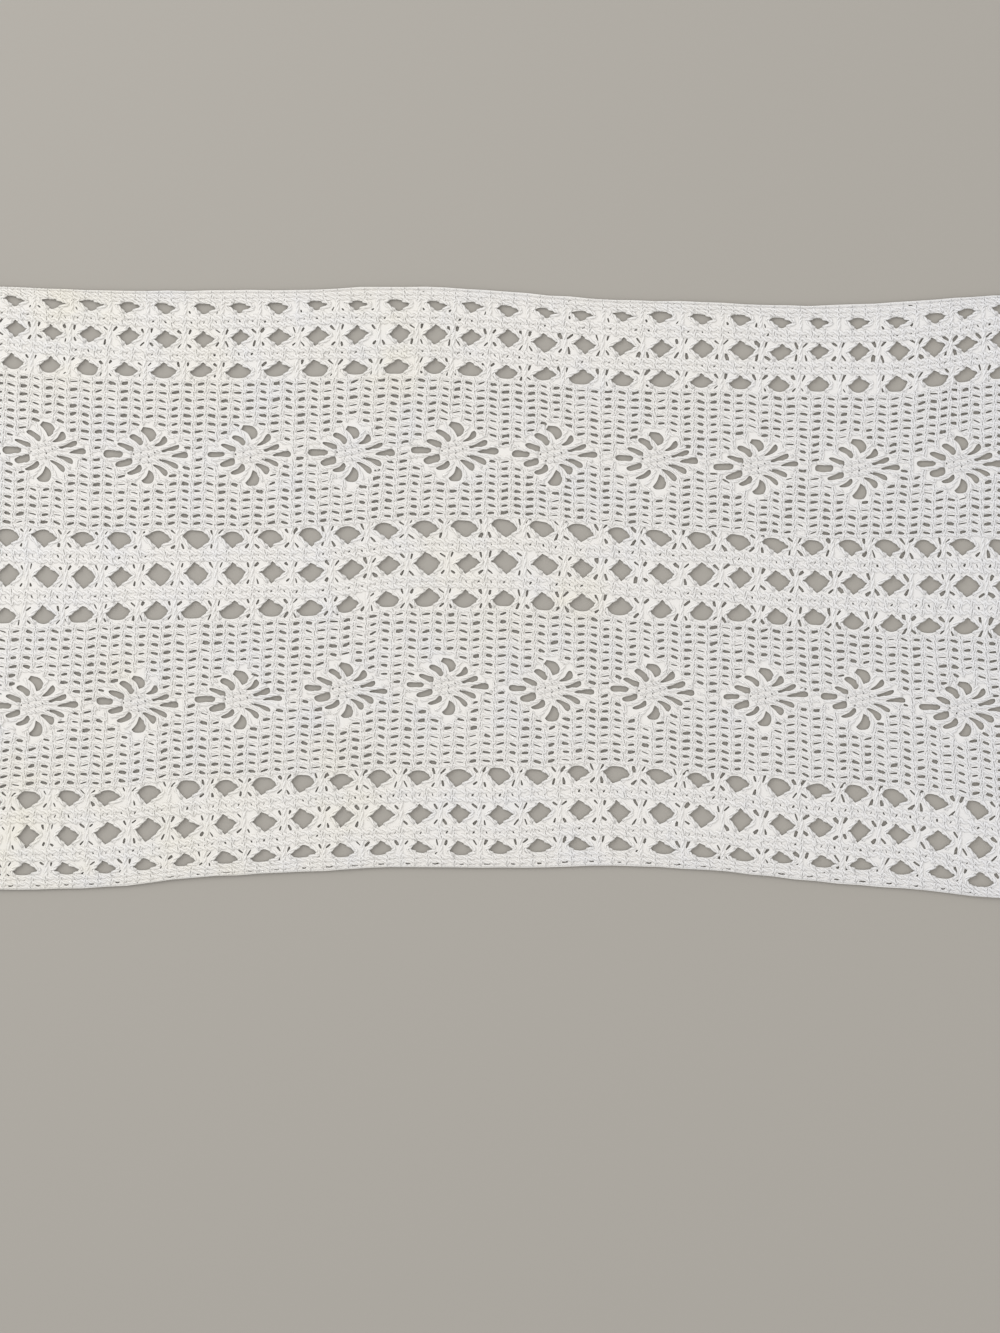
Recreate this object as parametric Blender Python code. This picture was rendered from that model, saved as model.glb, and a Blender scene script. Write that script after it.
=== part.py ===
"""Crochet table runner: a stretch of white cotton crochet lying flat on a table.

The crochet rows run across the runner, and are numbered along its length. Three openwork bands lie
along it, each with three lines of holes: a hole opens at every third row, and between two holes the
chains of three rows are gathered at the waist. A line of spider motifs runs along each of the two
dense fields between the bands, one motif to every eight rows.
"""

import math
from collections import namedtuple

import bmesh
import bpy

MM = 0.001  # every size below is in millimetres

THICKNESS = 2.2  # double crochet in 1 mm cotton yarn

FIRST_ROW = -4  # the plain rows that finish the left end start here
LAST_ROW = 83
MIDDLE_ROW = 39.5
ROWS_PER_HOLE = 3
FIRST_HOLE_ROW = 0.5  # a hole's centre lies in the middle of its row
HOLE_COLUMNS = 27

ROWS_PER_SPIDER = 8
FIRST_SPIDER_ROW = 3.4
SPIDER_COLUMNS = 10

EDGE_POINTS_PER_ROW = 0.6
END_POINTS = 10

HOLE_SIZE_SPREAD = 0.11  # a hole's width and height differ from its line's by up to this share
HOLE_PLACE_SPREAD = 0.6
HOLE_LEAN_SPREAD = 0.16
HOLE_CORNER_SPREAD = 0.5
HOLE_SIDE_SPREAD = 0.14
EDGE_SPREAD = 0.3

# How the cloth lies. Each section gives the places across the runner, at one place along it, of its
# two edges and of the middle line of holes in each band. The middle band is stretched at the ends.
Section = namedtuple(
    "Section",
    "along back_edge back_band middle_band middle_stretch front_band front_edge",
)
SECTIONS = [
    Section(-295, 151.0, 131.0, 6.0, 1.10, -125.5, -151.0),
    Section(-250, 151.0, 130.0, 6.5, 1.09, -124.5, -150.3),
    Section(-200, 149.2, 126.5, 6.5, 1.01, -122.5, -149.2),
    Section(-150, 149.0, 124.8, 7.3, 0.98, -118.3, -144.2),
    Section(-100, 149.5, 126.0, 8.4, 0.97, -115.3, -141.5),
    Section(-50, 151.2, 127.5, 12.0, 0.95, -113.0, -139.0),
    Section(0, 148.8, 124.8, 13.0, 0.98, -112.3, -139.5),
    Section(50, 144.8, 121.6, 9.8, 0.97, -110.8, -138.4),
    Section(100, 143.3, 120.0, 7.0, 0.98, -113.9, -140.3),
    Section(150, 141.5, 118.5, 3.8, 0.97, -118.7, -145.4),
    Section(200, 143.2, 118.8, 1.7, 1.02, -122.5, -149.7),
    Section(250, 146.7, 124.5, 0.8, 1.12, -130.0, -154.5),
    Section(295, 147.5, 127.0, 1.0, 1.12, -133.0, -157.0),
]

# The rows fan out towards the front edge: where the middle row lies, and how far apart the rows are.
Fan = namedtuple("Fan", "across middle pitch")
FANS = [
    Fan(-160, 2.5, 6.66),
    Fan(-117, 2.5, 6.60),
    Fan(-55, 1.2, 6.46),
    Fan(8, 2.5, 6.38),
    Fan(60, 2.5, 6.34),
    Fan(125, 2.5, 6.30),
    Fan(160, 2.5, 6.28),
]

# Each band is pulled along the runner by a little, which dies out in the plain field beside it.
Pull = namedtuple("Pull", "along back_band middle_band front_band")
PULLS = [
    Pull(-250, 0.0, 0.0, 0.0),
    Pull(-150, 0.0, -1.3, 0.0),
    Pull(-90, 0.0, -1.3, -1.2),
    Pull(-50, 3.2, -0.8, -2.0),
    Pull(0, 1.0, 0.0, -2.0),
    Pull(50, 1.2, 0.0, -1.5),
    Pull(100, 3.5, 2.5, -0.3),
    Pull(150, 5.2, 2.0, 0.0),
    Pull(205, 6.7, 1.0, -1.0),
    Pull(235, 2.8, 0.5, -0.7),
    Pull(295, 2.0, 0.3, -0.5),
]
PULL_FULL_TO = 20.0  # from the band's middle line
PULL_ENDS_AT = 48.0

# Half a hole's outline, from its left corner to its right one, in shares of its half width and of its
# height on that side. It is pointed where it meets a block of crochet, and round along a plain field.
# The tip of a pointed half lies as far along as the line of holes says.
HALF_OUTLINES = {
    "pointed": [(-0.44, 0.50), (0.00, 1.00), (0.48, 0.60)],
    "round_back": [(-0.62, 0.88), (-0.05, 1.00), (0.55, 0.70)],
    "round_front": [(-0.62, 0.78), (-0.03, 1.00), (0.58, 0.77)],
}

# The nine lines of holes, from the back. offset is from the band's middle line, shift is along it,
# and left_up and right_up say how far the two corners lie towards the back.
HoleLine = namedtuple(
    "HoleLine",
    "band offset shift half_width back_height front_height left_up right_up tip back front",
)
HOLE_LINES = [
    HoleLine("back_band", 15.2, 0.6, 5.9, 2.2, 3.2, 0.9, 0.0, -0.10, "round_back", "pointed"),
    HoleLine("back_band", 0.0, 0.4, 6.2, 4.7, 4.5, 0.0, 0.5, -0.04, "pointed", "pointed"),
    HoleLine("back_band", -16.3, -0.1, 6.3, 4.4, 3.5, -0.3, 0.6, 0.00, "pointed", "round_front"),
    HoleLine("middle_band", 18.1, -0.8, 6.4, 4.1, 4.6, 1.2, -0.6, 0.08, "round_back", "pointed"),
    HoleLine("middle_band", 0.0, 0.3, 6.4, 5.5, 5.7, 0.0, 0.4, -0.02, "pointed", "pointed"),
    HoleLine("middle_band", -18.6, 0.0, 6.2, 4.8, 4.0, -0.4, 0.4, 0.00, "pointed", "round_front"),
    HoleLine("front_band", 18.3, -0.8, 6.4, 4.0, 4.5, 1.0, -0.2, -0.12, "round_back", "pointed"),
    HoleLine("front_band", 0.0, -0.6, 6.4, 5.4, 5.7, 0.0, 0.4, -0.12, "pointed", "pointed"),
    HoleLine("front_band", -17.0, -0.6, 6.3, 4.0, 2.8, -0.4, -0.4, -0.18, "pointed", "round_front"),
]

# The two lines of spiders lie midway between these lines of holes. Each spider sits a little off
# that line, towards the back edge, and a few are pulled along it too.
SpiderLine = namedtuple("SpiderLine", "behind in_front row_shift lifts pulls")
SPIDER_LINES = [
    SpiderLine(
        2,
        3,
        row_shift=-0.1,
        lifts=(0.2, -0.8, -0.2, -0.8, -1.6, -0.8, -0.8, -0.8, -0.8, -1.0),
        pulls=(-1.5, -0.6, 0.0, 0.0, 0.6, 0.0, 0.3, 0.0, 0.0, -1.0),
    ),
    SpiderLine(
        5,
        6,
        row_shift=-0.3,
        lifts=(1.2, 1.0, -0.8, 1.0, 1.0, -0.8, 0.4, 2.0, 4.4, 4.0),
        pulls=(0.0, 0.0, 0.0, 0.0, 0.0, -0.3, 0.0, 4.0, 0.0, 0.0),
    ),
]

# The large holes at a spider's back and front, from the spider's centre.
SPIDER_HOLES = {
    "back": [(-2.6, 12.1), (-1.4, 14.0), (2.8, 13.2), (4.9, 10.5), (4.3, 8.1), (1.8, 6.9)],
    "front": [(-2.0, -13.1), (-0.4, -14.5), (3.4, -14.3), (4.8, -11.6), (4.0, -8.8), (1.7, -7.1)],
}

YARN_COLOUR = (0.79, 0.78, 0.75, 1.0)
YARN_ROUGHNESS = 0.9


def clear_scene():
    for thing in list(bpy.data.objects):
        bpy.data.objects.remove(thing)


def between(table, key, name, place):
    """Reads one column of a table at a place between its rows, on a smooth curve through them."""
    places = [getattr(row, key) for row in table]
    values = [getattr(row, name) for row in table]
    place = min(max(place, places[0]), places[-1])
    at = 0
    while at < len(places) - 2 and places[at + 1] < place:
        at += 1
    before = max(at - 1, 0)
    after = min(at + 2, len(places) - 1)
    step = places[at + 1] - places[at]
    slope_in = (values[at + 1] - values[before]) / (places[at + 1] - places[before]) * step
    slope_out = (values[after] - values[at]) / (places[after] - places[at]) * step
    t = (place - places[at]) / step
    rise = values[at + 1] - values[at]
    bend_in = slope_in - rise
    bend_out = rise - slope_out
    return values[at] + rise * t + t * (1 - t) * (bend_in * (1 - t) + bend_out * t)


def section(name, along):
    return between(SECTIONS, "along", name, along)


def along_of(row, across):
    """The place along the runner of a crochet row, at one place across it."""
    middle = between(FANS, "across", "middle", across)
    along = middle + (row - MIDDLE_ROW) * between(FANS, "across", "pitch", across)
    for band in ("back_band", "middle_band", "front_band"):
        away = abs(across - section(band, along))
        share = (PULL_ENDS_AT - away) / (PULL_ENDS_AT - PULL_FULL_TO)
        along += min(max(share, 0.0), 1.0) * between(PULLS, "along", band, along)
    return along


def spread(*numbers):
    """A number from -1 to 1 that is settled by the numbers given, for the unevenness of handwork."""
    mixed = math.sin(sum(n * w for n, w in zip(numbers, (12.9898, 78.233, 37.719)))) * 43758.5453
    return 2 * (mixed - math.floor(mixed)) - 1


def hole_line_across(line, along):
    stretch = section("middle_stretch", along) if line.band == "middle_band" else 1.0
    return section(line.band, along) + line.offset * stretch


def on_row(row, across_at):
    """The point of a row whose place across depends on where the row lies along the runner."""
    along = along_of(row, 0.0)
    for _ in range(3):
        along = along_of(row, across_at(along))
    return along, across_at(along)


def half_outline(name, height, lean, tip, side_spread):
    """Half a hole's outline from left to right, which leans to the right as it leaves the middle."""
    points = []
    for x, y in HALF_OUTLINES[name]:
        is_tip = y == 1.0
        if name == "pointed":
            x += tip if is_tip else tip / 2
        up = y if is_tip else y * (1 + side_spread)
        points.append((x + lean * up, up * height))
    return points


def hole_outline(line, line_number, column):
    def uneven(kind):
        return spread(column, line_number, kind)

    row = FIRST_HOLE_ROW + column * ROWS_PER_HOLE
    along, _ = on_row(row, lambda place: hole_line_across(line, place))
    along += line.shift + HOLE_PLACE_SPREAD * uneven(1)
    lift = HOLE_PLACE_SPREAD * uneven(2)
    width = line.half_width * (1 + HOLE_SIZE_SPREAD * uneven(3))
    size = 1 + HOLE_SIZE_SPREAD * uneven(4)
    lean = HOLE_LEAN_SPREAD * uneven(5)
    sides = HOLE_SIDE_SPREAD * uneven(6)
    left = (-1.0, line.left_up + HOLE_CORNER_SPREAD * uneven(7))
    right = (1.0, line.right_up + HOLE_CORNER_SPREAD * uneven(8))
    back = half_outline(line.back, line.back_height, lean, line.tip, sides)
    front = half_outline(line.front, -line.front_height, -lean, line.tip, sides)
    points = [left, *back, right, *reversed(front)]
    points = [(along + width * x, size * y) for x, y in points]
    return [(x, hole_line_across(line, x) + lift + y) for x, y in points]


def spider_centre(line, number):
    row = FIRST_SPIDER_ROW + line.row_shift + number * ROWS_PER_SPIDER

    def across_at(along):
        behind = hole_line_across(HOLE_LINES[line.behind], along)
        in_front = hole_line_across(HOLE_LINES[line.in_front], along)
        return (behind + in_front) / 2 + line.lifts[number]

    along, across = on_row(row, across_at)
    return along + line.pulls[number], across


def spider_outline(centre, shape, *numbers):
    size = 1 + 0.08 * spread(*numbers, 6)
    turn = 0.10 * spread(*numbers, 7)
    return [
        (centre[0] + size * (x - turn * y), centre[1] + size * (y + turn * x)) for x, y in shape
    ]


def edge_line(name):
    """One long edge, from the left end to the right one."""
    steps = round((LAST_ROW - FIRST_ROW) * EDGE_POINTS_PER_ROW)
    points = []
    for step in range(steps + 1):
        row = FIRST_ROW + (LAST_ROW - FIRST_ROW) * step / steps
        along, across = on_row(row, lambda place: section(name, place))
        points.append((along, across + EDGE_SPREAD * spread(step, len(name))))
    return points


def end_line(row, first, last):
    """The points between the two corners of one end."""
    points = []
    for step in range(1, END_POINTS):
        across = first[1] + (last[1] - first[1]) * step / END_POINTS
        points.append((along_of(row, across) + EDGE_SPREAD * spread(step, row), across))
    return points


def runner_outline():
    front = edge_line("front_edge")
    back = edge_line("back_edge")
    right = end_line(LAST_ROW, front[-1], back[-1])
    left = end_line(FIRST_ROW, back[0], front[0])
    return front + right + back[::-1] + left


def openings():
    """The outlines of all the holes that are cut through."""
    outlines = []
    for line_number, line in enumerate(HOLE_LINES):
        for column in range(HOLE_COLUMNS):
            outlines.append(hole_outline(line, line_number, column))
    for line_number, line in enumerate(SPIDER_LINES):
        for number in range(SPIDER_COLUMNS):
            centre = spider_centre(line, number)
            for side, shape in SPIDER_HOLES.items():
                outlines.append(spider_outline(centre, shape, number, line_number + len(side)))
    return outlines


def cotton():
    material = bpy.data.materials.new("white_cotton_yarn")
    material.use_nodes = True
    shader = material.node_tree.nodes["Principled BSDF"]
    shader.inputs["Base Color"].default_value = YARN_COLOUR
    shader.inputs["Roughness"].default_value = YARN_ROUGHNESS
    shader.inputs["Metallic"].default_value = 0.0
    return material


def add_spline(curve, outline, centre):
    spline = curve.splines.new("POLY")
    spline.points.add(len(outline) - 1)
    for point, (x, y) in zip(spline.points, outline):
        point.co = ((x - centre[0]) * MM, (y - centre[1]) * MM, 0.0, 1.0)
    spline.use_cyclic_u = True


def flat_sheet(name, outline, holes, collection):
    """A closed sheet of even thickness with its underside at height zero, centred on its own box."""
    centre = [(min(values) + max(values)) / 2 for values in zip(*outline)]
    curve = bpy.data.curves.new(name, "CURVE")
    curve.dimensions = "2D"
    curve.fill_mode = "BOTH"
    curve.extrude = THICKNESS / 2 * MM
    for points in [outline, *holes]:
        add_spline(curve, points, centre)
    drawn = bpy.data.objects.new(f"{name}_outline", curve)
    drawn.location.z = THICKNESS / 2 * MM
    collection.objects.link(drawn)
    bpy.context.view_layer.update()
    graph = bpy.context.evaluated_depsgraph_get()
    mesh = bpy.data.meshes.new_from_object(drawn.evaluated_get(graph))
    sheet = bpy.data.objects.new(name, mesh)
    sheet.matrix_world = drawn.matrix_world
    collection.objects.link(sheet)
    bpy.data.objects.remove(drawn)
    bm = bmesh.new()
    bm.from_mesh(mesh)
    bmesh.ops.remove_doubles(bm, verts=bm.verts, dist=0.00001)
    bmesh.ops.recalc_face_normals(bm, faces=bm.faces)
    bm.to_mesh(mesh)
    bm.free()
    mesh.name = name
    return sheet


def main():
    clear_scene()
    collection = bpy.data.collections.new("crochet_table_runner")
    bpy.context.scene.collection.children.link(collection)
    runner = flat_sheet("runner", runner_outline(), openings(), collection)
    runner.data.materials.clear()
    runner.data.materials.append(cotton())


main()
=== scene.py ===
import math

import bmesh
import bpy
import numpy as np
from mathutils.kdtree import KDTree
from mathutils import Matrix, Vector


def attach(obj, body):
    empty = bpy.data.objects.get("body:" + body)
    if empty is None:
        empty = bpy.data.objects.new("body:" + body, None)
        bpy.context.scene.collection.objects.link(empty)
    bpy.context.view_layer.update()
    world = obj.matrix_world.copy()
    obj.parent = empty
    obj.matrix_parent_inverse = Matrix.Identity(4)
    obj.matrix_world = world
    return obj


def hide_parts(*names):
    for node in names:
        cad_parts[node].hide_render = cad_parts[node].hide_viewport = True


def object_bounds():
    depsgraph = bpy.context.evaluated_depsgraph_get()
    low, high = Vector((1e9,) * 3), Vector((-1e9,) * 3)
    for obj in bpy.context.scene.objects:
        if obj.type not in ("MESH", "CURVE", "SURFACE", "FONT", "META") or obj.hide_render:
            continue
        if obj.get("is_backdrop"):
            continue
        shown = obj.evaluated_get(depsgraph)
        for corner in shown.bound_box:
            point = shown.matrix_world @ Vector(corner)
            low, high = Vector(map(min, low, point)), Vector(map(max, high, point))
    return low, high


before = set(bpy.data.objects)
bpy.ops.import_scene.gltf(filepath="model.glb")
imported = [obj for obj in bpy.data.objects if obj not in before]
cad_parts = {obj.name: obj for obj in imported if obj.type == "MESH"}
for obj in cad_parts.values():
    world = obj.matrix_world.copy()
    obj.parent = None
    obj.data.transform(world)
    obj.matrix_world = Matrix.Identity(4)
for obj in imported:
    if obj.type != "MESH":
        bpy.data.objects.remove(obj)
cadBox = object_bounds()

mm = 0.001
rng = np.random.default_rng(17)

# how the runner is worked: rows run across it, and are counted from left to right
rowPlan = {
    "firstRow": -4,
    "lastRow": 83,
    "firstHoleRow": 0.5,   # the row that the first column of holes is centred on
    "rowsPerHole": 3,
    "holeColumns": 27,
    "holeLines": 9,
    "rowPitch": 6.4 * mm,
}
# between two lines of holes: how many posts lie side by side
regions = [
    {"line": 0, "posts": 2, "kind": "edge"},
    {"line": 1, "posts": 2, "kind": "block"},
    {"line": 2, "posts": 2, "kind": "block"},
    {"line": 3, "posts": 20, "kind": "field"},
    {"line": 4, "posts": 2, "kind": "block"},
    {"line": 5, "posts": 2, "kind": "block"},
    {"line": 6, "posts": 20, "kind": "field"},
    {"line": 7, "posts": 2, "kind": "block"},
    {"line": 8, "posts": 2, "kind": "block"},
    {"line": 9, "posts": 2, "kind": "edge"},
]
kinds = {
    # uneven: how far the ends of the posts wander, in mm
    "field": {"fullness": 1.0, "headMargin": 0.009, "uneven": 0.2},
    "block": {"fullness": 1.38, "headMargin": 0.09, "uneven": 0.4},
    "edge": {"fullness": 1.05, "headMargin": 0.0, "uneven": 0.2},
}
fieldPlan = {"rimPost": 0.85, "middlePost": 0.75}   # widths of the posts at a field's rims and middle
# drift: the columns lean on past the outermost holes by this share of their lean there
edgePlan = {"chainShare": 0.13, "chainWide": 0.62, "postsFrom": 0.28, "drift": 0.45}
rowTilt = (0.26 * mm, -0.18 * mm)   # how far the posts of even and odd rows lean


def rimLoops(node):
    # the closed lines round the top face, each an array of x, y that runs anticlockwise
    bm = bmesh.new()
    bm.from_mesh(node.data)
    bmesh.ops.remove_doubles(bm, verts=bm.verts, dist=0.001 * mm)
    bm.normal_update()
    nextTo = {}
    for edge in bm.edges:
        if sorted(face.normal.z > 0.5 for face in edge.link_faces) == [False, True]:
            for one, other in (edge.verts, reversed(edge.verts)):
                nextTo.setdefault(one, []).append(other)
    loops = []
    left = set(nextTo)
    for start in nextTo:
        if start not in left:
            continue
        loop = [start]
        left.discard(start)
        while True:
            ahead = [v for v in nextTo[loop[-1]] if v in left]
            if not ahead:
                break
            loop.append(ahead[0])
            left.discard(ahead[0])
        points = np.array([v.co[:2] for v in loop])
        turned = np.roll(points, -1, axis=0)
        if np.sum(points[:, 0] * turned[:, 1] - points[:, 1] * turned[:, 0]) < 0:
            points = points[::-1]
        loops.append(points)
    bm.free()
    return loops


def softened(points, steps=3, sharpFrom=62, roundRight=False, cornerPull=0.8):
    # a smooth curve through the points of a closed line, which keeps corners sharper than so many degrees
    before = points - np.roll(points, 1, axis=0)
    after = np.roll(points, -1, axis=0) - points
    cross = before[:, 0] * after[:, 1] - before[:, 1] * after[:, 0]
    bend = np.degrees(np.arctan2(np.abs(cross), (before * after).sum(axis=1)))
    if roundRight:
        bend[points[:, 0].argmax()] = 0
    along = (np.roll(points, -1, axis=0) - np.roll(points, 1, axis=0)) / 2
    leaving = np.where(bend[:, None] > sharpFrom, after * cornerPull, along)
    coming = np.where(bend[:, None] > sharpFrom, before * cornerPull, along)
    made = []
    for k in range(len(points)):
        m = (k + 1) % len(points)
        for t in np.arange(steps) / steps:
            a = 2 * t**3 - 3 * t**2 + 1
            b = t**3 - 2 * t**2 + t
            c = t**3 - t**2
            made.append(a * points[k] + b * leaving[k] + (1 - a) * points[m] + c * coming[m])
    return np.array(made)


print("reading the packed sheet")
loops = rimLoops(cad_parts["runner"])
loops.sort(key=lambda loop: np.ptp(loop[:, 0]), reverse=True)
outline, holes = loops[0], loops[1:]


def holeMiddle(loop):
    # midway between the left and the right corner, at their height
    corners = loop[[loop[:, 0].argmin(), loop[:, 0].argmax()]]
    return corners.mean(axis=0)


middles = np.array([holeMiddle(loop) for loop in holes])
leftmost = np.argsort(middles[:, 0])[:rowPlan["holeLines"]]
leftmost = leftmost[np.argsort(-middles[leftmost, 1])]
bandHoles = []   # for each line from the back, its holes from left to right
for number in leftmost:
    line = [number]
    step = np.array([rowPlan["rowsPerHole"] * rowPlan["rowPitch"], 0])
    while len(line) < rowPlan["holeColumns"]:
        far = np.linalg.norm(middles - middles[line[-1]] - step, axis=1)
        line.append(int(far.argmin()))
        step = middles[line[-1]] - middles[line[-2]]
    bandHoles.append(line)
inBands = {number for line in bandHoles for number in line}
spiderHoles = [number for number in range(len(holes)) if number not in inBands]
hollowDepth = (0.3, 1.1)   # in mm
for number in spiderHoles:
    # the side next to a leg is hollow: it is the longest one
    loop = holes[number]
    spans = np.linalg.norm(np.roll(loop, -1, axis=0) - loop, axis=1)
    k = int(spans.argmax())
    ahead = np.roll(loop, -1, axis=0)[k] - loop[k]
    inward = np.array([-ahead[1], ahead[0]]) / spans[k]
    hollow = loop[k] + 0.5 * ahead + rng.uniform(*hollowDepth) * mm * inward
    holes[number] = np.insert(loop, k + 1, hollow, axis=0)
softHoles = [softened(loop, roundRight=number in inBands) for number, loop in enumerate(holes)]
print("holes in the bands:", len(inBands), "holes of the spiders:", len(spiderHoles))

# the four sides of the outline, each sorted for reading between its points
corners = [int((outline @ np.array(way)).argmax()) for way in ((-1, 1), (-1, -1), (1, -1), (1, 1))]


def sideOf(first, last, axis):
    # the outline runs anticlockwise, so a side starts at one corner and ends at the next
    order = np.arange(first, last + 1 if last >= first else last + 1 + len(outline))
    side = outline[order % len(outline)]
    return side[np.argsort(side[:, axis])]


leftEnd = sideOf(corners[0], corners[1], 1)
frontEdge = sideOf(corners[1], corners[2], 0)
rightEnd = sideOf(corners[2], corners[3], 1)
backEdge = sideOf(corners[3], corners[0], 0)

# the net that the stitches are laid on: eleven lines along the runner, from edge to edge, with a knot
# for each column of holes and for each end
knots = rowPlan["firstHoleRow"] + rowPlan["rowsPerHole"] * np.arange(rowPlan["holeColumns"])
knots = np.concatenate([[rowPlan["firstRow"]], knots, [rowPlan["lastRow"]]])
net = np.zeros((rowPlan["holeLines"] + 2, len(knots), 2))
for line, numbers in enumerate(bandHoles, start=1):
    net[line, 1:-1] = middles[numbers]
    for knot, inner, further, end in ((0, 1, 3, leftEnd), (-1, -2, -4, rightEnd)):
        slope = net[line, inner] - net[line, further]
        slope = slope[1] / slope[0]
        level = net[line, inner, 1]
        # the end slants, so its place and the line's level there are found in a few rounds
        for again in range(3):
            x = np.interp(level, end[:, 1], end[:, 0])
            level = net[line, inner, 1] + slope * (x - net[line, inner, 0])
        net[line, knot] = x, level
for line, inner, edge, ends in (
    (0, 1, backEdge, (corners[0], corners[3])),
    (-1, -2, frontEdge, (corners[1], corners[2])),
):
    further = inner + 1 if inner > 0 else inner - 1
    x = net[inner, :, 0] + edgePlan["drift"] * (net[inner, :, 0] - net[further, :, 0])
    net[line, :, 0] = x
    net[line, :, 1] = np.interp(x, edge[:, 0], edge[:, 1])
    net[line, 0] = outline[ends[0]]
    net[line, -1] = outline[ends[1]]
netSlopes = np.gradient(net, knots, axis=1)


def at(row, across):
    # the place of a crochet row at one line across the runner; 0 is the back edge and 10 the front one
    row, across = np.broadcast_arrays(np.asarray(row, float), np.asarray(across, float))
    k = np.clip(np.searchsorted(knots, row, side="right") - 1, 0, len(knots) - 2)
    gap = knots[k + 1] - knots[k]
    t = (row - knots[k]) / gap
    a = 2 * t**3 - 3 * t**2 + 1
    b = (t**3 - 2 * t**2 + t) * gap
    c = (t**3 - t**2) * gap
    line = np.clip(np.floor(across).astype(int), 0, len(net) - 2)
    share = (across - line)[..., None]
    found = 0
    for part, weight in ((line, 1 - share), (line + 1, share)):
        place = a[..., None] * net[part, k] + (1 - a)[..., None] * net[part, k + 1]
        place = place + b[..., None] * netSlopes[part, k] + c[..., None] * netSlopes[part, k + 1]
        found = found + weight * place
    return found


# how far the holes of each line reach towards the back and towards the front
reachBack = np.zeros((len(net), len(knots)))
reachFront = np.zeros((len(net), len(knots)))
for line, numbers in enumerate(bandHoles, start=1):
    reachBack[line, 1:-1] = [softHoles[n][:, 1].max() - middles[n, 1] for n in numbers]
    reachFront[line, 1:-1] = [middles[n, 1] - softHoles[n][:, 1].min() for n in numbers]
for reach in (reachBack, reachFront):
    reach[:, 0], reach[:, -1] = reach[:, 1], reach[:, -2]


def between(line, share, row):
    # across, for a share of the way from one line's rims to the next line's
    depth = at(row, line)[..., 1] - at(row, line + 1)[..., 1]
    near = np.interp(row, knots, reachFront[line])
    far = np.interp(row, knots, reachBack[line + 1])
    return line + (near + share * (depth - near - far)) / depth


def postBorders(region):
    # the lines between the posts of a region, as shares of the way across it
    widths = np.ones(region["posts"])
    if region["kind"] == "field":
        widths[[0, -1]] = fieldPlan["rimPost"]
        widths[region["posts"] // 2 - 1:region["posts"] // 2 + 1] = fieldPlan["middlePost"]
    borders = np.concatenate([[0], np.cumsum(widths)]) / widths.sum()
    if region["line"] == 0:
        borders = edgePlan["postsFrom"] + (1 - edgePlan["postsFrom"]) * borders
    if region["line"] == len(net) - 2:
        borders = (1 - edgePlan["postsFrom"]) * borders
    return borders


spider = {
    "middleOffset": np.array([1.28, -0.52]) * mm,   # of its two big holes, from its own middle
    "reach": np.array([21.0, 15.5]) * mm,
    "postClear": 1.05,      # posts end this many reaches away
    "headClear": 0.06,      # heads end this much further away
    "slitClear": 1.2,
    "turn": 3.0,            # degrees either way
    "legWide": 0.98,
    "legFrom": 0.75, "legTo": 1.06,   # a leg reaches past the slots beside it, inwards and outwards
    "stitch": 3.5 * mm,     # a row of the body, in single crochet
    "stitchShares": (0.05, 0.95), "stitchLean": 0.5 * mm,
    "bodyRows": (2, 3, 3, 2),
    "bodyPitch": 3.2 * mm, "bodyShift": 1.2 * mm, "bodyStagger": 0.25 * mm,
}
spiderMiddles = []
for number in spiderHoles:
    others = [n for n in spiderHoles if n != number]
    gaps = [np.linalg.norm(middles[n] - middles[number]) for n in others]
    partner = others[int(np.argmin(gaps))]
    if middles[number, 1] > middles[partner, 1]:
        pair = (middles[number] + middles[partner]) / 2
        spiderMiddles.append(pair - spider["middleOffset"])
spiderMiddles = np.array(spiderMiddles)
print("spiders:", len(spiderMiddles))

# each slot in mm from the spider's middle: its inner end, its outer end, its width at each and how
# far it bows to its left, seen from the middle
slotPlan = [
    # inner x, y, outer x, y, inner width, outer width, bow
    (4.7, 4.8, 10.7, 9.4, 0.7, 3.3, -0.9),
    (6.4, 1.6, 16.4, 4.6, 0.7, 2.9, -0.5),
    (12.6, -0.5, 22.1, 0.1, 0.8, 3.3, 0.3),
    (6.4, -2.2, 15.8, -5.9, 0.8, 2.7, 0.5),
    (3.6, -4.6, 10.4, -9.5, 0.8, 3.2, 0.6),
    (-2.1, -5.6, -8.9, -9.3, 2.9, 1.5, 0.9),
    (-6.6, -2.6, -14.4, -5.0, 3.5, 2.4, 0.4),
    (-11.4, 0.4, -20.6, 0.4, 2.4, 2.9, 0.1),
    (-6.2, 2.1, -13.7, 5.4, 3.0, 1.6, -0.3),
    (-1.6, 5.4, -8.2, 9.8, 2.8, 2.4, -0.7),
]
# how far the slots differ from spider to spider, and the sizes to try where they lie close
slotSpread = {
    "fat": (0.9, 1.35), "inner": (0.95, 1.05), "outer": (0.94, 1.04), "sides": (0.85, 1.15),
    "sizes": (1, 0.85, 0.7, 0.55),
}
# the small gaps in its body, in mm from its middle
bodyDots = [(-6.0, 0.3), (-2.4, -2.8), (-2.3, 1.2), (1.2, 3.2), (1.2, -0.9), (1.3, -3.5), (4.7, 1.2)]
dotPlan = {"wander": 0.25, "length": 1.0 * mm, "width": 0.75 * mm, "spread": (0.7, 1.2)}   # wander in mm


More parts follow.
